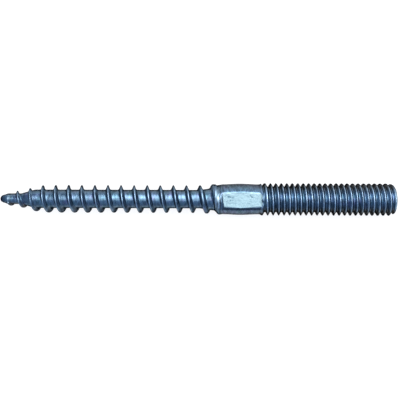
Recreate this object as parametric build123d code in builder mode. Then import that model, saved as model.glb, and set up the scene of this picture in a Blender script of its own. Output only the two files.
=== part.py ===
from build123d import *
import os
from math import pi, radians, sin, sqrt, tan

# Hanger bolt, 3/8-16 UNC by 4-1/2 in, made from one steel blank. Millimetres.
# A wood thread runs from a blunt gimlet point up to a shoulder. A plain body carries two pressed
# wrench flats. The machine thread's shank is modelled at its major diameter, with its lead-in step
# and its rounded end; its fine grooves are left out.
# The bolt lies along X with its point towards -X and its flats facing +Z and -Z. The origin is on
# the axis, in the middle of the length. The wood thread is right-hand.

# Lengths along the axis
length = 114.3             # from the point to the machine end
machine_length = 39.7      # machine thread, with its lead-in step and its rounded end
body_length = 10.4         # plain body between the shoulder and the machine thread
crown_length = 1.05        # front edge of the body, drawn in
shoulder_length = 1.55     # steep cone up to that edge
flare_length = 3.9         # gentle cone from the wood thread's core up to the steep one
taper_length = 4.0         # cone from the pilot stem up to the wood thread's core
stem_length = 3.6          # parallel pilot stem behind the nose
nose_length = 1.5          # slender cone of the nose, up to the stem
tip_length = 0.9           # blunt cone at the very point
step_length = 0.7          # lead-in from the body up to the machine thread
end_taper_length = 1.3     # first cone of the machine end
end_chamfer_length = 0.6   # second cone, down to the end face

# Diameters
core_diameter = 5.34       # root of the wood thread
flare_diameter = 6.54      # where the gentle cone meets the steep one
shoulder_diameter = 8.28   # where the steep cone meets the body's drawn-in edge
wood_diameter = 7.92       # crest of the wood thread
stem_diameter = 3.06       # pilot stem
nose_diameter = 2.3        # between the two cones of the nose
blunt_diameter = 0.4       # flat left on the very point
body_diameter = 8.69       # at both ends of the body
bulge_diameter = 9.06      # at its middle, where the flats' metal was pressed outwards
machine_diameter = 9.4     # major diameter of the machine thread
end_taper_diameter = 8.69  # between the two cones of the machine end
end_face_diameter = 7.6    # flat face left on the machine end

# Wood thread
wood_pitch = 3.79
wood_land = 0.3            # width of the crest
wood_flank_angle = 14      # each flank from the plane across the axis, in degrees
wood_start = 2.1           # where the ridge starts, behind the point
wood_start_turn = 0.1      # its angle there, in turns on from +Z
point_turns = 3            # turns over which the ridge grows to its full height
run_out_turns = 1.75       # turns over which it climbs the shoulder and fades out
run_out_rise = 0.36        # how far the crest climbs on the way
run_out_land = 1.1         # width of the crest where the ridge ends
ridge_root = 0.4           # how deep the ridge's foot is buried in the blank
point_stretches = 3        # stretches that the ridge is made of where it grows,
core_stretches = 3         # along the core,
run_out_stretches = 2      # and up the shoulder
stretch_steps = 8          # steps between cross-sections in a stretch that changes form

# Wrench flats
across_flats = 7.7
flat_length = 11.7
flat_width = 5.0           # width of the die that presses each flat
flat_corner = 1.5          # corner radius of the die

# Stations along the axis
point_x = -length / 2
machine_end_x = length / 2
nose_x = point_x + tip_length
stem_x = nose_x + nose_length
taper_x = stem_x + stem_length
core_x = taper_x + taper_length
machine_x = machine_end_x - machine_length
body_x = machine_x - body_length
crown_x = body_x - crown_length
shoulder_x = crown_x - shoulder_length
flare_x = shoulder_x - flare_length
end_chamfer_x = machine_end_x - end_chamfer_length
end_taper_x = end_chamfer_x - end_taper_length

core_radius = core_diameter / 2
crest_radius = wood_diameter / 2
stem_radius = stem_diameter / 2
machine_radius = machine_diameter / 2
ridge_height = crest_radius - core_radius

# Where the ridge changes form, and its angle there in turns
ridge_x = point_x + wood_start
full_ridge_x = ridge_x + point_turns * wood_pitch
full_ridge_turn = wood_start_turn + point_turns
run_out_x = body_x - run_out_turns * wood_pitch
run_out_turn = wood_start_turn + (run_out_x - ridge_x) / wood_pitch


def blank_radius(x):
    """Radius of the pilot stem, its taper and the core at x."""
    share = min(max((x - taper_x) / taper_length, 0), 1)
    return stem_radius + (core_radius - stem_radius) * share


def axial_plane(turn):
    """Half plane through the axis, with its local x along the bolt, turned right-hand from +Z."""
    return Plane.XZ.rotated((360 * turn, 0, 0))


def ridge_corners(x, surface, crest, land):
    """Corners of the ridge's section at x, on a blank of radius surface, with its crest at crest."""
    foot = surface - ridge_root
    half_foot = land / 2 + (crest - foot) * tan(radians(wood_flank_angle))
    return (x - half_foot, foot), (x - land / 2, crest), (x + land / 2, crest), (x + half_foot, foot)


# Outline of the blank, turned about the axis
with BuildPart() as blank:
    with BuildSketch(Plane.XZ):
        with BuildLine():
            Line((point_x, 0), (point_x, blunt_diameter / 2))
            Polyline(
                (point_x, blunt_diameter / 2),
                (nose_x, nose_diameter / 2),
                (stem_x, stem_radius),
                (taper_x, stem_radius),
                (core_x, core_radius),
                (flare_x, core_radius),
                (shoulder_x, flare_diameter / 2),
                (crown_x, shoulder_diameter / 2),
                (body_x, body_diameter / 2),
                (body_x + body_length / 2, bulge_diameter / 2),
                (machine_x, body_diameter / 2),
                (machine_x + step_length, machine_radius),
                (end_taper_x, machine_radius),
                (end_chamfer_x, end_taper_diameter / 2),
                (machine_end_x, end_face_diameter / 2),
                (machine_end_x, 0),
                (point_x, 0),
            )
        make_face()
    revolve(axis=Axis.X)

# Wood thread at the point: the ridge breaks out and grows to its full height
with BuildPart() as point_thread:
    for stretch in range(point_stretches):
        for step in range(stretch_steps + 1):
            growth = (stretch + step / stretch_steps) / point_stretches
            turns = point_turns * growth
            x = ridge_x + turns * wood_pitch
            surface = blank_radius(x)
            height = ridge_height * sqrt(growth) if growth else -ridge_root / 2
            with BuildSketch(axial_plane(wood_start_turn + turns)):
                with BuildLine():
                    Polyline(*ridge_corners(x, surface, surface + height, wood_land), close=True)
                make_face()
        loft()

# Wood thread along the core
with BuildPart() as core_thread:
    stretch_length = (run_out_x - full_ridge_x) / core_stretches
    for stretch in range(core_stretches):
        x = full_ridge_x + stretch * stretch_length
        turn = wood_start_turn + (x - ridge_x) / wood_pitch
        with BuildLine():
            path = Helix(
                wood_pitch, stretch_length, crest_radius, direction=(1, 0, 0), mode=Mode.PRIVATE
            )
            add(path.rotate(Axis.X, 360 * turn).translate((x, 0, 0)))
        with BuildSketch(axial_plane(turn)):
            with BuildLine():
                Polyline(*ridge_corners(x, core_radius, crest_radius, wood_land), close=True)
            make_face()
        sweep(is_frenet=True)

# Wood thread up the shoulder: the crest climbs and widens, and the shoulder swallows it
with BuildPart() as shoulder_thread:
    for stretch in range(run_out_stretches):
        for step in range(stretch_steps + 1):
            share = (stretch + step / stretch_steps) / run_out_stretches
            turns = run_out_turns * share
            x = run_out_x + turns * wood_pitch
            crest = crest_radius + run_out_rise * sin(pi / 2 * turns)
            land = wood_land + (run_out_land - wood_land) * share
            with BuildSketch(axial_plane(run_out_turn + turns)):
                with BuildLine():
                    Polyline(*ridge_corners(x, core_radius, crest, land), close=True)
                make_face()
        loft()

# The finished bolt
with BuildPart() as hanger_bolt:
    add(blank)
    add(core_thread)
    add(point_thread)
    add(shoulder_thread)
    flat_planes = Plane.XY.offset(across_flats / 2), (-Plane.XY).offset(across_flats / 2)
    with BuildSketch(*flat_planes):
        with Locations((body_x + flat_length / 2, 0)):
            RectangleRounded(flat_length, flat_width, flat_corner)
    extrude(amount=machine_radius, mode=Mode.SUBTRACT)

hanger_bolt.part.label = "hanger_bolt"
os.makedirs("parts", exist_ok=True)
export_step(hanger_bolt.part, "parts/hanger_bolt.step")
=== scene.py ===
"""Looks of a zinc-plated hanger bolt: wood thread, body with wrench flats, machine thread."""

import functools
import logging
import math
import operator
from collections.abc import Iterable
from dataclasses import dataclass, field
from enum import Enum

import bpy
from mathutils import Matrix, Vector


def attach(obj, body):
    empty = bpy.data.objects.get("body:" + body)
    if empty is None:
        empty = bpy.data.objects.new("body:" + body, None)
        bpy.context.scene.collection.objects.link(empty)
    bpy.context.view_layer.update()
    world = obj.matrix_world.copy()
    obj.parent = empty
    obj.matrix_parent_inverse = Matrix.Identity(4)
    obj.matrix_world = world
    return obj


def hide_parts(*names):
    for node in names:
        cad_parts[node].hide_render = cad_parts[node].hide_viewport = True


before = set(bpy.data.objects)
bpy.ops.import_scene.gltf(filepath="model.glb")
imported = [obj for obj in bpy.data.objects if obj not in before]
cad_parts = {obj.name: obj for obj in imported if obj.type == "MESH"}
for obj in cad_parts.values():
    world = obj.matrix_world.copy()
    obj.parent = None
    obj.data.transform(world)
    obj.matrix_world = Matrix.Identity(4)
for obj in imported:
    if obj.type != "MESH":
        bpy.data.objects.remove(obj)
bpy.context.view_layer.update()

log = logging.getLogger("hanger_bolt")

# A millimetre in metres
MM = 0.001

# The mesh's attributes that the finish reads
FLAT_SHARE = "pressed_flat"
THREAD_SHARE = "thread_share"

# The value about which noise varies, and the least distance from the axis, in mm, to divide by
NOISE_MIDDLE = 0.5
NEAR_AXIS = 0.1

Colour = tuple[float, float, float, float]


class Blend(Enum):
    """How a quantity runs from one station of the bolt to the next."""

    STRAIGHT = "LINEAR"
    SMOOTH = "SMOOTHSTEP"


class Field:
    """A number that varies over a surface, kept as an output socket of a node tree."""

    def __init__(self, tree: bpy.types.NodeTree, socket: bpy.types.NodeSocket) -> None:
        """Wraps one output socket of the tree."""
        self.tree = tree
        self.socket = socket

    def calculate(self, operation: str, *others: "Field | float") -> "Field":
        """Adds one Math node.

        Args:
            operation: The node's operation, such as "ADD".
            *others: The further operands, as fields or plain numbers.

        Returns:
            The node's result.
        """
        node = self.tree.nodes.new("ShaderNodeMath")
        node.operation = operation
        self.tree.links.new(self.socket, node.inputs[0])
        for place, other in enumerate(others, 1):
            self._feed(node.inputs[place], other)
        return Field(self.tree, node.outputs[0])

    def __add__(self, other: "Field | float") -> "Field":
        """Sum."""
        return self.calculate("ADD", other)

    def __sub__(self, other: "Field | float") -> "Field":
        """Difference."""
        return self.calculate("SUBTRACT", other)

    def __mul__(self, other: "Field | float") -> "Field":
        """Product."""
        return self.calculate("MULTIPLY", other)

    def __truediv__(self, other: "Field | float") -> "Field":
        """Quotient."""
        return self.calculate("DIVIDE", other)

    def __neg__(self) -> "Field":
        """Opposite."""
        return self.calculate("MULTIPLY", -1.0)

    def __abs__(self) -> "Field":
        """Size without its sign."""
        return self.calculate("ABSOLUTE")

    def __pow__(self, exponent: float) -> "Field":
        """Power."""
        return self.calculate("POWER", exponent)

    def least(self, other: "Field | float") -> "Field":
        """The lower of two values."""
        return self.calculate("MINIMUM", other)

    def most(self, other: "Field | float") -> "Field":
        """The higher of two values."""
        return self.calculate("MAXIMUM", other)

    def soft_least(self, other: "Field | float", radius: float) -> "Field":
        """The lower of two values, with the corner between them rounded."""
        return self.calculate("SMOOTH_MIN", other, radius)

    def soft_most(self, other: "Field | float", radius: float) -> "Field":
        """The higher of two values, with the corner between them rounded."""
        return self.calculate("SMOOTH_MAX", other, radius)

    def hypotenuse(self, other: "Field") -> "Field":
        """Length of the slanted side of a right triangle with this and the other as its legs."""
        return (self * self + other * other).calculate("SQRT")

    def ramp(self, start: float, end: float, low: "Field | float", high: "Field | float",
             blend: Blend = Blend.STRAIGHT) -> "Field":
        """Runs from one value to another between two limits, and stays level outside them.

        Args:
            start: Where the ramp starts.
            end: Where it ends.
            low: Its value before the start.
            high: Its value after the end.
            blend: The ramp's form.

        Returns:
            The ramp's value.
        """
        node = self.tree.nodes.new("ShaderNodeMapRange")
        node.clamp = True
        node.interpolation_type = blend.value
        self.tree.links.new(self.socket, node.inputs["Value"])
        settings = {"From Min": start, "From Max": end, "To Min": low, "To Max": high}
        for name, value in settings.items():
            self._feed(node.inputs[name], value)
        return Field(self.tree, node.outputs["Result"])

    def _feed(self, socket: bpy.types.NodeSocket, value: "Field | float") -> None:
        """Links a field to an input, or sets a plain number on it.

        Args:
            socket: The input's socket.
            value: What it takes.
        """
        if isinstance(value, Field):
            self.tree.links.new(value.socket, socket)
        else:
            socket.default_value = value


# The three coordinates of a place
Place = tuple[Field, Field, Field]

# Distance behind the point, radius and share of a thread's height
Shape = tuple[Field, Field, Field]


@dataclass(frozen=True)
class Span:
    """Two limits of a quantity, and the values that a straight ramp between them joins."""

    start: float
    end: float
    low: float = 0.0
    high: float = 1.0

    def of(self, quantity: Field) -> Field:
        """The ramp's value, level outside the limits."""
        return quantity.ramp(self.start, self.end, self.low, self.high)


@dataclass(frozen=True)
class Peak:
    """A value at which a share is full, and the reach on both sides over which it fades out."""

    centre: float
    reach: float

    def of(self, quantity: Field) -> Field:
        """The share, from 1 at the centre to 0 at the reach."""
        return abs(quantity - self.centre).ramp(0.0, self.reach, 1.0, 0.0)


@dataclass(frozen=True)
class Pattern:
    """A noise pattern: its repeats for each unit of each coordinate, its octaves and its ramp."""

    scale: tuple[float, float, float]
    detail: float
    span: Span = Span(0.0, 1.0)

    def raw(self, place: Place) -> Field:
        """Adds the noise itself.

        Args:
            place: The three coordinates that it is laid over.

        Returns:
            The noise, mostly between 0.3 and 0.7.
        """
        tree = place[0].tree
        spot = tree.nodes.new("ShaderNodeCombineXYZ")
        for axis, value, repeats in zip("XYZ", place, self.scale):
            tree.links.new((value * repeats).socket, spot.inputs[axis])
        node = tree.nodes.new("ShaderNodeTexNoise")
        node.inputs["Scale"].default_value = 1.0
        node.inputs["Detail"].default_value = self.detail
        tree.links.new(spot.outputs[0], node.inputs["Vector"])
        return Field(tree, node.outputs[0])

    def over(self, place: Place) -> Field:
        """The noise, run through the pattern's ramp."""
        return self.span.of(self.raw(place))


def total(parts: Iterable[Field]) -> Field:
    """Adds fields up in their order."""
    return functools.reduce(operator.add, parts)


class SizeInputs:
    """The named sizes that a Geometry Nodes tree takes as its inputs."""

    def __init__(self, tree: bpy.types.NodeTree) -> None:
        """Adds the tree's group input, with no sizes yet.

        Args:
            tree: The node tree.
        """
        self.tree = tree
        self.node = tree.nodes.new("NodeGroupInput")
        self.values: dict[str, float | int] = {}

    def number(self, name: str, value: float) -> Field:
        """The input of this name, in mm or degrees, added where it is new."""
        return Field(self.tree, self._socket(name, value, "NodeSocketFloat"))

    def count(self, name: str, value: int) -> Field:
        """The whole-number input of this name, added where it is new."""
        return Field(self.tree, self._socket(name, value, "NodeSocketInt"))

    def slope(self, name: str, angle: float) -> Field:
        """The slope of the angle input of this name."""
        return self.number(name, angle).calculate("RADIANS").calculate("TANGENT")

    def apply(self, modifier: bpy.types.NodesModifier) -> None:
        """Sets a modifier's inputs by their identifiers.

        Args:
            modifier: The modifier that runs the tree.
        """
        for item in self.tree.interface.items_tree:
            if item.in_out == "INPUT":
                modifier[item.identifier] = self.values[item.name]

    def _socket(self, name: str, value: float | int, kind: str) -> bpy.types.NodeSocket:
        """Adds one input where it is new.

        Args:
            name: The input's name.
            value: Its value.
            kind: Its socket type.

        Returns:
            The socket that gives it inside the tree.
        """
        if name not in self.values:
            self.tree.interface.new_socket(name, in_out="INPUT", socket_type=kind)
            self.values[name] = value
        return self.node.outputs[name]


@dataclass
class BoltOutline:
    """The bolt's outline with no thread on it: a radius at each station behind the point, in mm.

    Past the machine end's edge the stations run on over the end face, towards the axis. A radius
    under axis_radius is made nothing, so that both ends close on the axis.
    """

    length: float = 114.3
    axis_radius: float = 0.03
    axis_step: float = 0.0001
    stations: list[tuple[float, float, Blend]] = field(default_factory=lambda: [
        # Blunt point and pilot stem
        (-0.35, 0.0, Blend.STRAIGHT),
        (0.0, 0.32, Blend.STRAIGHT),
        (0.35, 0.86, Blend.SMOOTH),
        (0.9, 1.15, Blend.STRAIGHT),
        (2.4, 1.54, Blend.SMOOTH),
        (6.0, 1.54, Blend.STRAIGHT),
        # Core of the wood thread and shoulder
        (10.0, 2.67, Blend.STRAIGHT),
        (57.7, 2.67, Blend.STRAIGHT),
        (61.6, 3.25, Blend.STRAIGHT),
        (63.1, 4.12, Blend.SMOOTH),
        # Body with its bulge
        (64.2, 4.33, Blend.STRAIGHT),
        (69.4, 4.52, Blend.SMOOTH),
        (74.8, 4.34, Blend.SMOOTH),
        # Machine shank, its rounded end and the end face
        (75.7, 4.68, Blend.SMOOTH),
        (112.3, 4.68, Blend.STRAIGHT),
        (113.2, 4.46, Blend.STRAIGHT),
        (113.7, 4.1, Blend.STRAIGHT),
        (113.95, 3.5, Blend.STRAIGHT),
        (114.3, 2.0, Blend.STRAIGHT),
        (116.3, 0.0, Blend.STRAIGHT),
    ])

    @property
    def first(self) -> float:
        """Where the outline starts, on the axis."""
        return self.stations[0][0]

    @property
    def last(self) -> float:
        """Where it ends, on the axis."""
        return self.stations[-1][0]

    def radius(self, along: Field) -> Field:
        """Radius of the outline.

        Args:
            along: Distance behind the point, in mm.

        Returns:
            The radius, in mm.
        """
        steps = [along.ramp(x0, x1, 0.0, r1 - r0, blend)
                 for (x0, r0, _), (x1, r1, blend) in zip(self.stations, self.stations[1:])]
        radius = total(steps)
        return radius * radius.ramp(self.axis_radius, self.axis_radius + self.axis_step, 0.0, 1.0)


@dataclass(frozen=True)
class PitchColumns:
    """How a strip's columns are shared out over one pitch: edge, flank, middle, flank and edge.

    Its two values are shares of the columns: where the first flank starts, and where it ends.
    """

    flank_start: float
    flank_end: float

    def distance(self, across: Field, edge: Field, flank: Field, middle: Field | float) -> Field:
        """Distance from the strip's first column.

        Args:
            across: Share of the columns, from 0 to 1.
            edge: Width of the stretch outside each flank, in mm.
            flank: Width of each flank.
            middle: Width of the stretch between the flanks.

        Returns:
            The distance along the bolt, in mm.
        """
        places = (0.0, self.flank_start, self.flank_end, 1.0 - self.flank_end,
                  1.0 - self.flank_start, 1.0)
        widths = (edge, flank, middle, flank, edge)
        return total(across.ramp(start, end, 0.0, width)
                     for start, end, width in zip(places, places[1:], widths))

    def share(self, across: Field) -> Field:
        """0 on both edges and 1 in the middle.

        Args:
            across: Share of the columns, from 0 to 1.

        Returns:
            The share, which runs straight down each flank.
        """
        up = across.ramp(self.flank_start, self.flank_end, 0.0, 1.0)
        down = across.ramp(1.0 - self.flank_end, 1.0 - self.flank_start, 0.0, 1.0)
        return up - down

    def off_centre(self, across: Field) -> Field:
        """0 at the middle column, rising to 1 where the flanks meet the middle stretch."""
        return (abs(across - 0.5) / (0.5 - self.flank_end)).least(1.0)

    def off_seam(self, across: Field) -> Field:
        """0 at the outer columns, rising to 1 where the edges meet the flanks."""
        return abs(across - 0.5).ramp(0.5 - self.flank_start, 0.5, 1.0, 0.0)


@dataclass
class WoodThread:
    """The right-hand wood thread, in mm and turns."""

    pitch: float = 3.79
    start: float = 2.1
    start_turn: float = 0.1
    start_step: float = 0.001
    core_radius: float = 2.67
    stem_radius: float = 1.55
    taper_start: float = 6.0
    taper_end: float = 10.0
    height: float = 1.36
    land: float = 0.42
    flank_angle: float = 19.0
    columns: PitchColumns = PitchColumns(0.20, 0.42)

    # How deep the ridge's foot is buried in the core, and how it is rounded and worn
    root: float = 1.1
    least_flank: float = 0.25
    least_height: float = 0.2
    foot_round: float = 1.0
    crest_round: float = 0.07
    crest_dome: float = 3.0
    crest_wear: float = 0.07
    wear: Pattern = Pattern((2.3, 1.0, 1.0), 3.0, Span(0.35, 0.7))

    # How far the ridge runs ahead of a true helix near the point and near the shoulder
    early_advance: float = 0.42
    advance_turns: float = 4.0
    late_advance: float = 0.33
    late_before: float = 0.75
    late_after: float = 1.0

    # Height of the crest above the core as a share of the full height, at distances behind the
    # point. It starts below the core's radius, because the stem is thinner.
    growth: list[tuple[float, float]] = field(default_factory=lambda: [
        (2.1, -0.60), (3.2, -0.37), (5.1, -0.14), (6.9, 0.0), (8.9, 0.44), (10.5, 0.78),
        (12.5, 0.95), (14.0, 1.0),
    ])

    # How the ridge climbs the shoulder and widens there, and where it joins the bare outline
    run_out_turns: float = 1.75
    run_out_rise: float = 0.34
    rise_turns: float = 1.0
    run_out_land: float = 1.25
    widening_share: float = 0.6
    point_join: float = 1.5
    body_join: float = 0.6

    def surface(self, sizes: SizeInputs, along: Field, turns: Field, across: Field,
                body_start: float, outline: BoltOutline) -> Shape:
        """Shape of the ridge and its valley.

        Args:
            sizes: The tree's sizes.
            along: Distance behind the point of the middle of this turn's ridge.
            turns: Turns since the ridge's start.
            across: Place across one pitch, from 0 to 1.
            body_start: Where the run-out ends.
            outline: The bolt's outline.

        Returns:
            The distance behind the point, the radius, and the share of the ridge's height.
        """
        half_pitch = sizes.number("Wood Pitch", self.pitch) * 0.5
        thin = sizes.number("Wood Crest Width", self.land)
        slope = sizes.slope("Wood Flank Angle", self.flank_angle)
        run_out_start = (body_start - self.start) / self.pitch - self.run_out_turns
        run_out = turns.ramp(run_out_start, run_out_start + self.run_out_turns, 0.0, 1.0)
        core = along.ramp(self.taper_start, self.taper_end, self.stem_radius, self.core_radius)
        crest = self._crest(sizes, along, turns, run_out)
        land = run_out.ramp(0.0, self.widening_share, thin, self.run_out_land)
        flank = (crest - core + self.root).most(self.least_flank) * slope
        valley = half_pitch - land * 0.5 - flank
        place = self.columns.distance(across, valley, flank, land)
        advance = self._advance(turns + across - 0.5, run_out_start)
        distance = along + advance + place - half_pitch
        clamped = distance.most(outline.first).least(body_start)
        bare = outline.radius(clamped)
        foot = bare - self.root
        share = self.columns.share(across)
        dome = self.columns.off_centre(across) ** self.crest_dome
        ridge = foot + (crest - foot) * share - dome * share * self.crest_round
        radius = bare.soft_most(ridge, self.foot_round)
        apart = clamped.ramp(0.0, self.point_join, 0.0, 1.0)
        apart = apart * clamped.ramp(body_start - self.body_join, body_start, 1.0, 0.0)
        radius = bare + (radius - bare) * apart
        share = (radius - bare) / (crest - core).most(self.least_height)
        return clamped, radius, share.most(0.0)

    def _crest(self, sizes: SizeInputs, along: Field, turns: Field, run_out: Field) -> Field:
        """Radius of the ridge's crest, which is nothing before the ridge starts.

        Args:
            sizes: The tree's sizes.
            along: Distance behind the point.
            turns: Turns since the ridge's start.
            run_out: Share of the run-out that is behind.

        Returns:
            The radius, in mm.
        """
        tallest = sizes.number("Wood Thread Height", self.height)
        steps = [along.ramp(x0, x1, 0.0, share1 - share0)
                 for (x0, share0), (x1, share1) in zip(self.growth, self.growth[1:])]
        grown = total(steps) + self.growth[0][1]
        climbed = run_out * self.run_out_turns
        rise = climbed.ramp(0.0, self.rise_turns, 0.0, self.run_out_rise, Blend.SMOOTH)
        nowhere = turns * 0.0
        wear_and_highlight = self.wear.over((turns, nowhere, nowhere))
        crest = grown * tallest + rise - wear_and_highlight * self.crest_wear + self.core_radius
        return crest * turns.ramp(-self.start_step, 0.0, 0.0, 1.0)

    def _advance(self, turns: Field, run_out_start: float) -> Field:
        """How far the ridge runs ahead of a true helix.

        Args:
            turns: Turns since the ridge's start.
            run_out_start: The turn at which the run-out starts.

        Returns:
            The distance, in mm.
        """
        early = turns.ramp(0.0, self.advance_turns, self.early_advance, 0.0)
        late = turns.ramp(run_out_start - self.late_before, run_out_start + self.late_after,
                          0.0, self.late_advance)
        return early + late


@dataclass
class MachineThread:
    """The right-hand machine thread, in mm and turns."""

    pitch: float = 25.4 / 16
    start: float = 74.6
    start_turn: float = 0.01
    crest_radius: float = 4.695
    depth: float = 0.82
    flank_angle: float = 30.0
    columns: PitchColumns = PitchColumns(0.25, 0.4375)

    # How the groove deepens over its first turns
    growth_turns: float = 1.25
    first_depth: float = 0.001

    # Rounding and wear of the root and the crests
    root_land: float = 0.30
    root_dip: float = 0.05
    crest_round: float = 0.12
    crest_dome: float = 2.5
    crest_wear: float = 0.05
    outline_round: float = 0.03
    wear: Pattern = Pattern((1.7, 1.0, 1.0), 3.0, Span(0.3, 0.7))

    # Where the thread joins the bare outline: from its start, and before the outline's end
    start_join: float = 0.3
    end_join_start: float = 1.0
    end_join_end: float = 0.5

    # Where the thread's finish fades in and out: from its start, and before the bolt's end
    finish_start: float = 1.2
    finish_end: float = 0.8

    def surface(self, sizes: SizeInputs, along: Field, turns: Field, across: Field,
                outline: BoltOutline) -> Shape:
        """Shape of the groove and the crests beside it.

        Args:
            sizes: The tree's sizes.
            along: Distance behind the point of the middle of this turn's groove.
            turns: Turns since the groove's start.
            across: Place across one pitch, from 0 to 1.
            outline: The bolt's outline.

        Returns:
            The distance behind the point, the radius, and the share of the height between two
            grooves.
        """
        half_pitch = sizes.number("Machine Pitch", self.pitch) * 0.5
        slope = sizes.slope("Machine Flank Angle", self.flank_angle)
        deepest = sizes.number("Machine Thread Depth", self.depth)
        depth = turns.ramp(0.0, self.growth_turns, self.first_depth, 1.0) * deepest
        flank = depth * slope
        land = half_pitch - flank - self.root_land * 0.5
        place = self.columns.distance(across, land, flank, self.root_land)
        distance = along + place - half_pitch
        clamped = distance.most(self.start).least(outline.last)
        share = self.columns.share(across)
        bare = outline.radius(clamped)
        groove = self._groove(share, depth, turns, across)
        radius = bare.soft_least(groove, self.outline_round)
        joined = self.start + self.start_join
        apart = clamped.ramp(self.start, joined, 0.0, 1.0)
        apart = apart * clamped.ramp(outline.last - self.end_join_start,
                                     outline.last - self.end_join_end, 1.0, 0.0)
        threaded = clamped.ramp(joined, self.start + self.finish_start, 0.0, 1.0)
        threaded = threaded * clamped.ramp(outline.length - self.finish_end, outline.length,
                                           1.0, 0.0)
        return clamped, bare + (radius - bare) * apart, (-share + 1.0) * threaded

    def _groove(self, share: Field, depth: Field, turns: Field, across: Field) -> Field:
        """Radius of the threaded surface.

        Args:
            share: Share of the groove's depth.
            depth: The depth, in mm.
            turns: Turns since the groove's start.
            across: Place across one pitch, from 0 to 1.

        Returns:
            The radius, in mm.
        """
        crest_turns = turns + across - 0.5
        rounding = crest_turns.ramp(0.0, self.growth_turns, 0.0, self.crest_round)
        dome = (self.columns.off_seam(across) ** self.crest_dome) * rounding
        nowhere = turns * 0.0
        wear_and_highlight = self.wear.over((crest_turns, nowhere, nowhere))
        root = Peak(0.5, 0.5 - self.columns.flank_end).of(across) * depth * self.root_dip
        return -(share * depth) + self.crest_radius - dome - root - wear_and_highlight * self.crest_wear


@dataclass
class WrenchFlats:
    """The two flats pressed into the body, in mm."""

    across: float = 7.7
    start: float = 63.95
    length: float = 11.7
    width: float = 4.22
    corner: float = 1.1
    draft: float = 1.6
    edge_round: float = 0.08

    # Metal pushed up along the flats' edges
    pad_slope: float = 2.6
    pad_round: float = 0.04
    pad_limit: Span = Span(74.4, 74.9, 0.0, 9.0)

    # Uneven outline: torn edges, a slanted front end and a nick in the back end
    torn: Pattern = Pattern((0.85, 0.85, 3.0), 3.0)
    torn_width: float = 0.75
    torn_ends: Span = Span(0.0, 0.8, 0.25, 1.0)
    slant: float = 0.19
    nick_side: float = -0.15
    nick_depth: float = 0.5
    nick_slope: float = 1.6

    # Where the finish takes the surface for flat: from the outline, and from the die's height
    flat_outline: Span = Span(-0.16, 0.04, 1.0, 0.0)
    flat_height: Span = Span(-0.5, -0.2)

    def press(self, sizes: SizeInputs, along: Field, side: Field,
              height: Field) -> tuple[Field, Field]:
        """Presses the surface down to the flats, which pushes a little metal up along their edges.

        Args:
            sizes: The tree's sizes.
            along: Distance behind the point.
            side: Distance from the flats' centre line.
            height: Height above the axis, towards either flat.

        Returns:
            The height after pressing, and the share to which each place is flat.
        """
        half_across = sizes.number("Across Flats", self.across) * 0.5
        outside = self._outside(sizes, along, side, height)
        beyond = outside.most(0.0)
        die = beyond * self.draft + half_across
        size = abs(height)
        pad = half_across - beyond * self.pad_slope - self.pad_limit.of(along)
        pressed = size.soft_least(die, self.edge_round).soft_most(pad, self.pad_round)
        flat = self.flat_outline.of(outside) * self.flat_height.of(size - die)
        return pressed * height.calculate("SIGN"), flat

    def _outside(self, sizes: SizeInputs, along: Field, side: Field, height: Field) -> Field:
        """Distance outside the flats' uneven outline.

        Args:
            sizes: The tree's sizes.
            along: Distance behind the point.
            side: Distance from the flats' centre line.
            height: Height above the axis, towards either flat.

        Returns:
            The distance in mm, below zero inside the outline.
        """
        half_length = sizes.number("Flat Length", self.length) * 0.5
        half_width = sizes.number("Flat Width", self.width) * 0.5
        end_on = abs(along - half_length - self.start) - half_length + self.corner
        side_on = abs(side) - half_width + self.corner
        outside = end_on.most(0.0).hypotenuse(side_on.most(0.0)) - self.corner
        outside = outside + end_on.most(side_on).least(0.0)
        outside = outside.most((half_width - side) * self.slant - along + self.start)
        nick = abs(side - self.nick_side) * -self.nick_slope + self.nick_depth
        outside = outside.most(nick + along - self.start - self.length)
        torn = self.torn.raw((along, side, height.calculate("SIGN"))) - NOISE_MIDDLE
        return outside + torn * self.torn_ends.of(end_on) * self.torn_width


@dataclass(frozen=True)
class PitPatch:
    """A place on the upper flat where the plating is pitted more.

    Its centre and reach are in mm. Its core is the share of the reach that is pitted fully.
    """

    along: float
    side: float
    reach: float
    core: float = 0.4

    def near(self, along: Field, side: Field) -> Field:
        """1 in the patch's core, falling to 0 at its reach."""
        away = (along - self.along).hypotenuse(side - self.side)
        return away.ramp(self.reach * self.core, self.reach, 1.0, 0.0)


@dataclass(frozen=True)
class BoltSurface:
    """What the finish reads at each place on the bolt.

    The place is the object's own coordinates in mm: distance behind the point, side and height.
    Flat is the share to which the place is pressed flat, and thread its share of a thread's height.
    """

    tree: bpy.types.NodeTree
    place: Place
    flat: Field
    thread: Field
    lean: Field

    @classmethod
    def read(cls, tree: bpy.types.NodeTree, half_length: float) -> "BoltSurface":
        """Adds the nodes that read the place and the mesh's attributes.

        Args:
            tree: The material's tree.
            half_length: Distance from the point to the object's origin, in mm.

        Returns:
            What they give. Its lean is 1 on the bolt's top, 0 at its sides and -1 underneath.
        """
        coordinates = tree.nodes.new("ShaderNodeTexCoord")
        parts = tree.nodes.new("ShaderNodeSeparateXYZ")
        tree.links.new(coordinates.outputs["Object"], parts.inputs[0])
        along, side, height = (Field(tree, socket) / MM for socket in parts.outputs)
        shares = []
        for name in (FLAT_SHARE, THREAD_SHARE):
            node = tree.nodes.new("ShaderNodeAttribute")
            node.attribute_name = name
            shares.append(Field(tree, node.outputs["Fac"]))
        lean = height / side.hypotenuse(height).most(NEAR_AXIS)
        return cls(tree, (along + half_length, side, height), *shares, lean)


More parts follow.
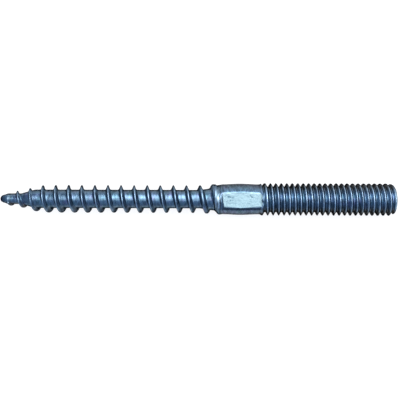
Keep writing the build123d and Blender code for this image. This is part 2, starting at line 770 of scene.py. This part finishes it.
@dataclass(frozen=True)
class ZincFinish:
    """Clear blue-white zinc plating over cold-formed steel.

    Places along the bolt are distances behind its point, in mm.
    """

    name: str = "zinc_steel"
    half_length: float = 57.15

    # Colours of the plating: clean, painted highlight, painted shade on the sides, and pressed
    plain: Colour = (0.104, 0.170, 0.235, 1.0)
    violet: Colour = (0.145, 0.155, 0.280, 1.0)
    teal: Colour = (0.085, 0.178, 0.218, 1.0)
    # Lighter on the thread flanks: painted light
    flank: Colour = (0.21, 0.31, 0.43, 1.0)
    # Lighter on the crests: burnished wear and painted highlight
    crest: Colour = (0.31, 0.42, 0.525, 1.0)
    # Painted highlight
    highlight_paint: Colour = (0.38, 0.50, 0.56, 1.0)
    # Painted shade on the sides and ends
    side_shade_colour: Colour = (0.080, 0.082, 0.084, 1.0)
    # Dark painted shade: thread corners, the point, the flat's lower edge and the ring grooves
    painted_shade: Colour = (0.022, 0.026, 0.036, 1.0)
    pressed: Colour = (0.295, 0.41, 0.435, 1.0)
    pit: Colour = (0.12, 0.21, 0.26, 1.0)
    edge_tint: Colour = (0.12, 0.12, 0.12, 1.0)
    body_edge_tint: Colour = (0.45, 0.45, 0.45, 1.0)

    # Where the plating turns violet and teal, and how it clouds
    violet_patches: Pattern = Pattern((0.42, 0.42, 0.42), 3.0, Span(0.52, 0.70, 0.0, 0.7))
    teal_blooms: Pattern = Pattern((0.55, 0.40, 0.40), 3.0, Span(0.50, 0.64, 0.0, 0.5))
    clouds: Pattern = Pattern((1.7, 0.7, 0.7), 4.0, Span(0.32, 0.68, 0.62, 1.42))

    # The body between the shoulder and the machine thread
    body_start: Span = Span(62.6, 64.0)
    body_end: Span = Span(74.4, 75.2, 1.0, 0.0)

    # Threads, by the share of a ridge's height: crest lightened as burnished wear and painted
    # highlight, flank lightened as painted light, and painted shade in the corner at the ridge's
    # foot and at the point
    # Crest lightening is partly burnished wear and partly painted highlight, stronger on the
    # machine thread
    crest_wear_and_highlight: Span = Span(0.84, 0.98)
    crest_wear_and_highlight_along: Span = Span(66.0, 74.0, 0.42, 0.9)
    # Flanks lightened as painted light
    flank_share: Peak = Peak(0.50, 0.42)
    flank_light: float = 0.8
    # Painted shade in the corner at the ridge's foot, and at the point
    corner_share: Peak = Peak(0.06, 0.06)
    corner_shade: float = 0.35
    point_shade: Span = Span(0.5, 2.0, 0.95, 0.0)

    # Painted highlights: on the top of the shoulder and the point, in streaks, and on the machine
    # end's rim
    shoulder_highlight: Peak = Peak(62.9, 1.1)
    point_highlight: Peak = Peak(2.75, 0.9)
    highlight_lean: Span = Span(0.6, 0.85)
    highlight_and_relief_streaks: Pattern = Pattern((3.4, 0.45, 0.45), 2.0, Span(0.40, 0.60, 0.2, 1.0))
    rim_highlight_along: Span = Span(113.1, 113.5)
    rim_highlight_lean: Span = Span(0.7, 0.95)
    wall_along: Span = Span(113.7, 114.2, 1.0, 0.0)

    # Painted shade on the bolt's sides, with more at both ends and most on the lower side
    side_shade: Span = Span(0.35, 0.88, 0.8, 0.0)
    end_shade: Span = Span(0.60, 0.95, 0.6, 0.0)
    end_shade_point: Span = Span(3.0, 9.0, 1.0, 0.0)
    end_shade_machine_end: Span = Span(74.0, 76.0)
    shade_lower_side: Span = Span(-1.5, 0.5, 1.0, 0.4)

    # Painted shade: a dark line along the upper flat's lower edge
    shade_line_side: Peak = Peak(-2.55, 0.5)
    shade_line_along: Peak = Peak(69.8, 5.8)
    shade_line_ends: Span = Span(0.0, 0.1)
    shade_line_height: Span = Span(0.0, 1.0, 0.0, 0.85)

    # Turned rings on the shoulder, with painted shade in their grooves
    ring_spacing: float = 0.85
    ring_middle: float = 62.75
    ring_wander: Pattern = Pattern((0.6, 0.5, 0.5), 2.0)
    ring_wander_depth: float = 5.0
    ring_groove: Span = Span(0.1, 0.9)
    ring_along: Peak = Peak(63.1, 1.7)
    ring_ends: Span = Span(0.0, 0.35)
    # Painted shade in the ring grooves
    ring_shade: float = 0.7

    # Pits in the flats, and the patches on the upper one
    pits: Pattern = Pattern((1.1, 1.5, 1.5), 4.0, Span(0.48, 0.72, 0.0, 0.36))
    specks: Pattern = Pattern((1.5, 1.7, 1.7), 3.0, Span(0.50, 0.60))
    patch_height: Span = Span(0.0, 1.0, 0.0, 0.9)
    patches: tuple[PitPatch, ...] = (PitPatch(66.2, 0.3, 1.7), PitPatch(72.5, 0.9, 0.9))

    # Roughness of the clean plating over its grain, and what rougher places add to it
    grain: Pattern = Pattern((3.4, 3.4, 3.4), 3.0, Span(0.3, 0.7, 0.17, 0.31))
    pressed_rougher: float = 0.27
    pit_rougher: float = 0.12
    flank_rougher: float = 0.25

    # Fine relief
    dents: Pattern = Pattern((0.7, 0.5, 0.5), 1.0)
    grain_relief: float = 0.35
    streak_relief: float = 0.8
    dent_relief: float = 1.2
    pit_relief: float = 1.2
    ring_relief: float = 0.5
    relief_strength: float = 0.6
    relief_depth: float = 0.06

    def material(self) -> bpy.types.Material:
        """Builds the finish as a node material.

        Returns:
            The material.
        """
        made = bpy.data.materials.new(self.name)
        made.use_nodes = True
        tree = made.node_tree
        tree.nodes.clear()
        out = tree.nodes.new("ShaderNodeOutputMaterial")
        shader = tree.nodes.new("ShaderNodeBsdfPrincipled")
        tree.links.new(shader.outputs[0], out.inputs["Surface"])
        shader.inputs["Metallic"].default_value = 1.0
        surface = BoltSurface.read(tree, self.half_length)
        flank = self.flank_share.of(surface.thread)
        rings = self._rings(surface)
        pits = self._pits(surface)
        grain = self.grain.raw(surface.place)
        rough = self.grain.span.of(grain) + surface.flat * self.pressed_rougher
        rough = rough + pits * self.pit_rougher + flank * self.flank_rougher
        colour = self._mottled(surface, self._plating(surface, flank, rings))
        stamped = self._mix(tree, pits, self.pressed, self.pit)
        colour = self._mix(tree, surface.flat, colour, stamped)
        tree.links.new(colour, shader.inputs["Base Color"])
        tree.links.new(rough.socket, shader.inputs["Roughness"])
        tree.links.new(self._edge(surface), shader.inputs["Specular Tint"])
        tree.links.new(self._relief(surface, grain, pits, rings), shader.inputs["Normal"])
        return made

    def _edge(self, surface: BoltSurface) -> bpy.types.NodeSocket:
        """Tint of the reflection at a grazing angle, darker on the threads than on the body.

        Args:
            surface: What the finish reads.

        Returns:
            The tint's socket.
        """
        along = surface.place[0]
        body = self.body_start.of(along) * self.body_end.of(along)
        return self._mix(surface.tree, body, self.edge_tint, self.body_edge_tint)

    def _relief(self, surface: BoltSurface, grain: Field, pits: Field,
                rings: Field) -> bpy.types.NodeSocket:
        """Fine relief of the plating.

        Args:
            surface: What the finish reads.
            grain: The plating's grain.
            pits: Share to which each place is pitted.
            rings: Share to which it lies in a turned ring.

        Returns:
            The socket of the bent normal.
        """
        streaks = self.highlight_and_relief_streaks.raw(surface.place)
        dents = self.dents.raw(surface.place)
        relief = grain * self.grain_relief + streaks * self.streak_relief
        relief = relief + dents * self.dent_relief - pits * self.pit_relief
        relief = relief - rings * self.ring_relief
        bump = surface.tree.nodes.new("ShaderNodeBump")
        bump.inputs["Strength"].default_value = self.relief_strength
        bump.inputs["Distance"].default_value = self.relief_depth * MM
        surface.tree.links.new(relief.socket, bump.inputs["Height"])
        return bump.outputs["Normal"]

    def _rings(self, surface: BoltSurface) -> Field:
        """Turned rings on the shoulder.

        Args:
            surface: What the finish reads.

        Returns:
            The share to which each place lies in a ring's groove.
        """
        along = surface.place[0]
        wander = (self.ring_wander.raw(surface.place) - NOISE_MIDDLE) * self.ring_wander_depth
        phase = (along - self.ring_middle) * (math.tau / self.ring_spacing) + wander
        near = self.ring_ends.of(self.ring_along.of(along))
        return self.ring_groove.of(phase.calculate("COSINE")) * near

    def _pits(self, surface: BoltSurface) -> Field:
        """Pits in the flats.

        Args:
            surface: What the finish reads.

        Returns:
            The share to which each place is pitted.
        """
        along, side, height = surface.place
        pits = self.pits.over(surface.place)
        specks = self.specks.over(surface.place)
        for patch in self.patches:
            pits = pits.most(specks * patch.near(along, side) * self.patch_height.of(height))
        return pits * surface.flat

    def _plating(self, surface: BoltSurface, flank: Field, rings: Field) -> bpy.types.NodeSocket:
        """Colour of the plating away from the flats, before it clouds.

        Args:
            surface: What the finish reads.
            flank: Share to which each place is a thread's flank.
            rings: Share to which it lies in a turned ring.

        Returns:
            The colour's socket.
        """
        along = surface.place[0]
        crest = self.crest_wear_and_highlight.of(surface.thread) * self.crest_wear_and_highlight_along.of(along)
        wall = self.wall_along.of(along)
        corner = self.corner_share.of(surface.thread) * self.corner_shade
        layers = (
            (self.violet_patches.over(surface.place), self.violet),
            (self.teal_blooms.over(surface.place), self.teal),
            # Flanks lightened: painted light
            (flank * self.flank_light, self.flank),
            # Crests lightened: burnished wear and painted highlight
            (crest, self.crest),
            # Painted highlights on the shoulder, the point and the rim
            (self._painted_highlight(surface, wall), self.highlight_paint),
            # Painted shade on the sides and ends
            (self._painted_side_shade(surface) * wall, self.side_shade_colour),
            # Painted shade: the line along the flat's lower edge and the ring grooves
            (self._shade_line(surface).most(rings * self.ring_shade), self.painted_shade),
            # Painted shade in the thread corners and at the point
            (corner.most(self.point_shade.of(along)), self.painted_shade),
        )
        tone = self.plain
        for share, colour in layers:
            tone = self._mix(surface.tree, share, tone, colour)
        return tone

    def _painted_highlight(self, surface: BoltSurface, wall: Field) -> Field:
        """Painted highlights on the shoulder, the point and the machine end's rim.

        Args:
            surface: What the finish reads.
            wall: 1 on the bolt's side, falling to 0 on the end face.

        Returns:
            The share of painted highlight at each place.
        """
        along = surface.place[0]
        # Painted highlight on the top of the shoulder and the point, in streaks, and on the rim
        wear_and_highlight = self.shoulder_highlight.of(along).most(self.point_highlight.of(along))
        wear_and_highlight = wear_and_highlight * self.highlight_lean.of(surface.lean) * self.highlight_and_relief_streaks.over(surface.place)
        rim = self.rim_highlight_along.of(along) * self.rim_highlight_lean.of(surface.lean) * wall
        return wear_and_highlight.most(rim)

    def _painted_side_shade(self, surface: BoltSurface) -> Field:
        """Painted shade on the bolt's sides and ends.

        Args:
            surface: What the finish reads.

        Returns:
            The share of painted shade at each place.
        """
        along, side, _ = surface.place
        ends = self.end_shade_point.of(along).most(self.end_shade_machine_end.of(along))
        ends = ends * self.shade_lower_side.of(side)
        return self.side_shade.of(surface.lean) + self.end_shade.of(surface.lean) * ends

    def _shade_line(self, surface: BoltSurface) -> Field:
        """Painted shade: a dark line along the upper flat's lower edge.

        Args:
            surface: What the finish reads.

        Returns:
            The share of painted shade at each place.
        """
        along, side, height = surface.place
        line = self.shade_line_side.of(side) * self.shade_line_ends.of(self.shade_line_along.of(along))
        return line * self.shade_line_height.of(height)

    def _mottled(self, surface: BoltSurface, tone: bpy.types.NodeSocket) -> bpy.types.NodeSocket:
        """Clouds a colour.

        Args:
            surface: What the finish reads.
            tone: The colour.

        Returns:
            The clouded colour's socket.
        """
        node = surface.tree.nodes.new("ShaderNodeVectorMath")
        node.operation = "SCALE"
        surface.tree.links.new(tone, node.inputs[0])
        surface.tree.links.new(self.clouds.over(surface.place).socket, node.inputs["Scale"])
        return node.outputs[0]

    def _mix(self, tree: bpy.types.NodeTree, share: Field, low: bpy.types.NodeSocket | Colour,
             high: bpy.types.NodeSocket | Colour) -> bpy.types.NodeSocket:
        """Mixes two colours.

        Args:
            tree: The material's tree.
            share: The share of the second colour.
            low: The first colour.
            high: The second colour.

        Returns:
            The mixed colour's socket.
        """
        node = tree.nodes.new("ShaderNodeMix")
        node.data_type = "RGBA"
        tree.links.new(share.socket, node.inputs["Factor"])
        for name, colour in (("A", low), ("B", high)):
            if isinstance(colour, tuple):
                node.inputs[name].default_value = colour
            else:
                tree.links.new(colour, node.inputs[name])
        return node.outputs["Result"]


@dataclass
class HangerBolt:
    """The whole bolt as one skin: a helical grid for each thread and a plain one for the body.

    Its lengths are in mm, and its grids are counted in vertices.
    """

    outline: BoltOutline = field(default_factory=BoltOutline)
    wood: WoodThread = field(default_factory=WoodThread)
    machine: MachineThread = field(default_factory=MachineThread)
    flats: WrenchFlats = field(default_factory=WrenchFlats)
    body_start: float = 64.2
    weld: float = 0.0006
    end_set_back: float = 0.002
    around: int = 96
    wood_columns: int = 26
    machine_columns: int = 17
    body_rings: int = 72

    def build(self, finish: bpy.types.Material) -> bpy.types.Object:
        """Makes the bolt's mesh with Geometry Nodes.

        Args:
            finish: The material of the whole bolt.

        Returns:
            The bolt, as a plain mesh object.
        """
        tree = bpy.data.node_groups.new("bolt_skin", "GeometryNodeTree")
        tree.interface.new_socket("Geometry", in_out="OUTPUT", socket_type="NodeSocketGeometry")
        sizes = SizeInputs(tree)
        join = tree.nodes.new("GeometryNodeJoinGeometry")
        for strip in (self._wood_skin, self._body_skin, self._machine_skin):
            tree.links.new(strip(sizes), join.inputs[0])
        skin = self._through(join.outputs[0], "GeometryNodeFlipFaces")
        skin = self._through(skin, "GeometryNodeMergeByDistance", Distance=self.weld * MM)
        skin = self._through(skin, "GeometryNodeSetShadeSmooth")
        skin = self._through(skin, "GeometryNodeRealizeInstances")
        skin = self._through(skin, "GeometryNodeSetMaterial", Material=finish)
        out = tree.nodes.new("NodeGroupOutput")
        tree.links.new(skin, out.inputs[0])
        return self._plain_mesh(sizes)

    def _through(self, geometry: bpy.types.NodeSocket, kind: str,
                 **settings: float | bpy.types.Material) -> bpy.types.NodeSocket:
        """Adds one node that the geometry passes through.

        Args:
            geometry: What goes in.
            kind: The node's type.
            **settings: Values of its other inputs, by name.

        Returns:
            What comes out.
        """
        tree = geometry.id_data
        node = tree.nodes.new(kind)
        tree.links.new(geometry, node.inputs[0])
        for name, value in settings.items():
            node.inputs[name].default_value = value
        return node.outputs[0]

    def _plain_mesh(self, sizes: SizeInputs) -> bpy.types.Object:
        """Runs the tree and keeps its result as a plain mesh.

        Args:
            sizes: The tree's sizes.

        Returns:
            The bolt's object.
        """
        carrier = bpy.data.objects.new("bolt_carrier", bpy.data.meshes.new("bolt_carrier"))
        bpy.context.scene.collection.objects.link(carrier)
        modifier = carrier.modifiers.new("skin", "NODES")
        modifier.node_group = sizes.tree
        sizes.apply(modifier)
        graph = bpy.context.evaluated_depsgraph_get()
        mesh = bpy.data.meshes.new_from_object(carrier.evaluated_get(graph))
        bpy.data.objects.remove(carrier)
        mesh.name = "bolt_skin"
        bolt = bpy.data.objects.new("bolt_skin", mesh)
        bpy.context.scene.collection.objects.link(bolt)
        return bolt

    def _grid(self, tree: bpy.types.NodeTree, columns: Field,
              rows: Field) -> tuple[bpy.types.NodeSocket, Field, Field]:
        """Adds a flat grid to be wrapped round the axis.

        Args:
            tree: The node tree.
            columns: Vertices across the strip.
            rows: Vertices along it.

        Returns:
            The grid's geometry, and each vertex's place across it and along it, from 0 to 1.
        """
        grid = tree.nodes.new("GeometryNodeMeshGrid")
        grid.inputs["Size X"].default_value = 1.0
        grid.inputs["Size Y"].default_value = 1.0
        tree.links.new(columns.socket, grid.inputs["Vertices X"])
        tree.links.new(rows.socket, grid.inputs["Vertices Y"])
        spot = tree.nodes.new("GeometryNodeInputPosition")
        parts = tree.nodes.new("ShaderNodeSeparateXYZ")
        tree.links.new(spot.outputs[0], parts.inputs[0])
        across = Field(tree, parts.outputs["X"]) + 0.5
        along = Field(tree, parts.outputs["Y"]) + 0.5
        return grid.outputs["Mesh"], across, along

    def _helix(self, sizes: SizeInputs, name: str, thread: WoodThread | MachineThread,
               columns: int, ends: tuple[int, int]) -> tuple[bpy.types.NodeSocket, Place, Field]:
        """Adds the flat grid of a thread's helical strip.

        Args:
            sizes: The tree's sizes.
            name: The thread's name in the inputs.
            thread: The thread.
            columns: Vertices across the strip.
            ends: The turns at which the strip starts and ends.

        Returns:
            The grid's geometry; the place of each vertex as the distance behind the point of the
            middle of its turn, its turns since the thread's start and its share across one pitch;
            and its angle in turns.
        """
        first, last = (float(end) for end in ends)
        rows = sizes.count("Vertices Around", self.around) * (last - first) + 1.0
        mesh, across, along = self._grid(sizes.tree, sizes.count(f"{name} Columns", columns), rows)
        turn = along.ramp(0.0, 1.0, first, last)
        turns = turn - thread.start_turn
        middle = turns * sizes.number(f"{name} Pitch", thread.pitch) + thread.start
        return mesh, (middle, turns, across), turn

    def _wrap(self, sizes: SizeInputs, mesh: bpy.types.NodeSocket, turn: Field,
              distance: Field, radius: Field, share: Field) -> bpy.types.NodeSocket:
        """Wraps a grid round the axis, presses the flats and stores what the finish reads.

        Args:
            sizes: The tree's sizes.
            mesh: The grid.
            turn: Angle in turns, right-hand about +X from +Z.
            distance: Distance behind the point, in mm.
            radius: Distance from the axis, in mm.
            share: Height share of the thread.

        Returns:
            The wrapped strip.
        """
        tree = sizes.tree
        angle = turn * math.tau
        side = -(angle.calculate("SINE") * radius)
        height = angle.calculate("COSINE") * radius
        height, flat = self.flats.press(sizes, distance, side, height)
        ahead = distance.most(0.0).least(self.outline.length - self.end_set_back)
        ahead = ahead - 0.5 * self.outline.length
        spot = tree.nodes.new("ShaderNodeCombineXYZ")
        for axis, value in zip("XYZ", (ahead, side, height)):
            tree.links.new((value * MM).socket, spot.inputs[axis])
        for name, value in ((FLAT_SHARE, flat), (THREAD_SHARE, share)):
            store = tree.nodes.new("GeometryNodeStoreNamedAttribute")
            store.data_type = "FLOAT"
            store.domain = "POINT"
            store.inputs["Name"].default_value = name
            tree.links.new(mesh, store.inputs["Geometry"])
            tree.links.new(value.socket, store.inputs["Value"])
            mesh = store.outputs["Geometry"]
        place = tree.nodes.new("GeometryNodeSetPosition")
        tree.links.new(mesh, place.inputs["Geometry"])
        tree.links.new(spot.outputs[0], place.inputs["Position"])
        return place.outputs["Geometry"]

    def _wood_skin(self, sizes: SizeInputs) -> bpy.types.NodeSocket:
        """The helical strip of the wood thread, from the point to the body.

        Args:
            sizes: The tree's sizes.

        Returns:
            The strip.
        """
        wood = self.wood
        first = math.floor((self.outline.first - wood.start) / wood.pitch + wood.start_turn) - 1
        last = math.ceil((self.body_start - wood.start) / wood.pitch + wood.start_turn) + 1
        mesh, place, turn = self._helix(sizes, "Wood", wood, self.wood_columns, (first, last))
        shape = wood.surface(sizes, *place, self.body_start, self.outline)
        return self._wrap(sizes, mesh, turn, *shape)

    def _body_skin(self, sizes: SizeInputs) -> bpy.types.NodeSocket:
        """The plain strip of the body.

        Args:
            sizes: The tree's sizes.

        Returns:
            The strip.
        """
        rows = sizes.count("Vertices Around", self.around) + 1.0
        rings = sizes.count("Body Rings", self.body_rings)
        mesh, across, along = self._grid(sizes.tree, rings, rows)
        distance = across.ramp(0.0, 1.0, self.body_start, self.machine.start)
        no_thread = across * 0.0
        return self._wrap(sizes, mesh, along, distance, self.outline.radius(distance), no_thread)

    def _machine_skin(self, sizes: SizeInputs) -> bpy.types.NodeSocket:
        """The helical strip of the machine thread, from the body over the end face.

        Args:
            sizes: The tree's sizes.

        Returns:
            The strip.
        """
        machine = self.machine
        threaded = self.outline.last - machine.start
        last = math.ceil(threaded / machine.pitch + machine.start_turn) + 1
        mesh, place, turn = self._helix(sizes, "Machine", machine, self.machine_columns, (-1, last))
        return self._wrap(sizes, mesh, turn, *machine.surface(sizes, *place, self.outline))


@dataclass(frozen=True)
class FloorPaint:
    """Matte white, which also glows to the eye and in reflections so that the floor shows white."""

    name: str = "floor_white"
    colour: Colour = (0.25, 0.25, 0.25, 1.0)
    glow_colour: Colour = (1.0, 1.0, 1.0, 1.0)
    glow: float = 0.83
    rays: tuple[str, ...] = ("Is Camera Ray", "Is Glossy Ray", "Is Transmission Ray")

    def material(self) -> bpy.types.Material:
        """Builds the paint as a node material.

        Returns:
            The material.
        """
        paint = bpy.data.materials.new(self.name)
        paint.use_nodes = True
        tree = paint.node_tree
        tree.nodes.clear()
        out = tree.nodes.new("ShaderNodeOutputMaterial")
        matte = tree.nodes.new("ShaderNodeBsdfDiffuse")
        matte.inputs["Color"].default_value = self.colour
        glow = tree.nodes.new("ShaderNodeEmission")
        glow.inputs["Color"].default_value = self.glow_colour
        glow.inputs["Strength"].default_value = self.glow
        path = tree.nodes.new("ShaderNodeLightPath")
        seen = functools.reduce(Field.most, (Field(tree, path.outputs[ray]) for ray in self.rays))
        lit = tree.nodes.new("ShaderNodeAddShader")
        tree.links.new(matte.outputs[0], lit.inputs[0])
        tree.links.new(glow.outputs[0], lit.inputs[1])
        mix = tree.nodes.new("ShaderNodeMixShader")
        tree.links.new(seen.socket, mix.inputs[0])
        tree.links.new(matte.outputs[0], mix.inputs[1])
        tree.links.new(lit.outputs[0], mix.inputs[2])
        tree.links.new(mix.outputs[0], out.inputs["Surface"])
        return paint


@dataclass(frozen=True)
class Softbox:
    """One rectangular lamp, in metres and watts, which faces the middle of the bolt."""

    name: str
    place: tuple[float, float, float]
    size: tuple[float, float]
    power: float
    colour: tuple[float, float, float] = (1.0, 1.0, 1.0)

    def build(self) -> None:
        """Makes the lamp and points it at the bolt."""
        light = bpy.data.lights.new(self.name, "AREA")
        light.shape = "RECTANGLE"
        light.size, light.size_y = self.size
        light.energy = self.power
        light.color = self.colour
        lamp = bpy.data.objects.new(self.name, light)
        lamp.location = self.place
        lamp.rotation_euler = (-Vector(self.place)).to_track_quat("-Z", "Y").to_euler()
        bpy.context.scene.collection.objects.link(lamp)


@dataclass
class Studio:
    """Pale floor, soft lamps and camera, in metres and degrees, with the sensor's width in mm."""

    floor_height: float = -0.0047
    floor_reach: float = 1.5
    floor_paint: FloorPaint = FloorPaint()
    room: Colour = (0.355, 0.46, 0.645, 1.0)
    camera_place: tuple[float, float, float] = (0.006, 0.011, 0.165)
    centre: tuple[float, float] = (0.00058, -0.00023)
    frame_width: float = 0.1159
    sensor_width: float = 36.0
    nearest: float = 0.01
    roll: float = 0.15
    softboxes: tuple[Softbox, ...] = (
        Softbox("key_softbox", (0.06, 0.229, 0.352), (0.42, 0.39), 1.62),
        Softbox("top_softbox", (0.04, 0.080, 0.440), (0.46, 0.46), 1.20),
        Softbox("back_softbox", (0.0, 0.50, 0.10), (0.80, 0.24), 0.5),
        Softbox("front_fill", (0.0, -0.16, 0.40), (0.60, 0.30), 0.075, (0.25, 0.50, 1.0)),
    )

    def build(self) -> None:
        """Makes the floor, the lamps, the world and the camera."""
        self._floor()
        for softbox in self.softboxes:
            softbox.build()
        self._world()
        self._camera()

    def _floor(self) -> None:
        """Makes the white floor, which keeps a soft shadow under the bolt."""
        mesh = bpy.data.meshes.new("studio_floor")
        reach = self.floor_reach
        corners = [(-reach, -reach, self.floor_height), (reach, -reach, self.floor_height),
                   (reach, reach, self.floor_height), (-reach, reach, self.floor_height)]
        mesh.from_pydata(corners, [], [(0, 1, 2, 3)])
        mesh.materials.append(self.floor_paint.material())
        floor = bpy.data.objects.new("studio_floor", mesh)
        bpy.context.scene.collection.objects.link(floor)

    def _world(self) -> None:
        """Makes the dim room behind the lamps."""
        world = bpy.data.worlds.new("studio")
        world.use_nodes = True
        back = world.node_tree.nodes["Background"]
        back.inputs["Color"].default_value = self.room
        back.inputs["Strength"].default_value = 1.0
        bpy.context.scene.world = world

    def _camera(self) -> None:
        """Makes the camera, which looks straight down and is shifted to frame the whole bolt."""
        data = bpy.data.cameras.new("camera")
        data.sensor_fit = "HORIZONTAL"
        data.sensor_width = self.sensor_width
        data.lens = self.sensor_width * self.camera_place[2] / self.frame_width
        data.shift_x = (self.centre[0] - self.camera_place[0]) / self.frame_width
        data.shift_y = (self.centre[1] - self.camera_place[1]) / self.frame_width
        data.clip_start = self.nearest
        camera = bpy.data.objects.new("camera", data)
        camera.location = self.camera_place
        camera.rotation_euler = (0.0, 0.0, math.radians(self.roll))
        bpy.context.scene.collection.objects.link(camera)
        bpy.context.scene.camera = camera


def main() -> None:
    """Builds the studio and the bolt, and reports each piece."""
    logging.basicConfig(level=logging.INFO, format="%(name)s: %(message)s")
    bpy.context.scene.view_settings.view_transform = "Standard"
    Studio().build()
    finish = ZincFinish().material()
    bolt = HangerBolt().build(finish)
    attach(bolt, "root")
    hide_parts("hanger_bolt")
    mesh = bolt.data
    log.info("%s: %d vertices, %d faces", bolt.name, len(mesh.vertices), len(mesh.polygons))


if __name__ == "__main__":
    main()
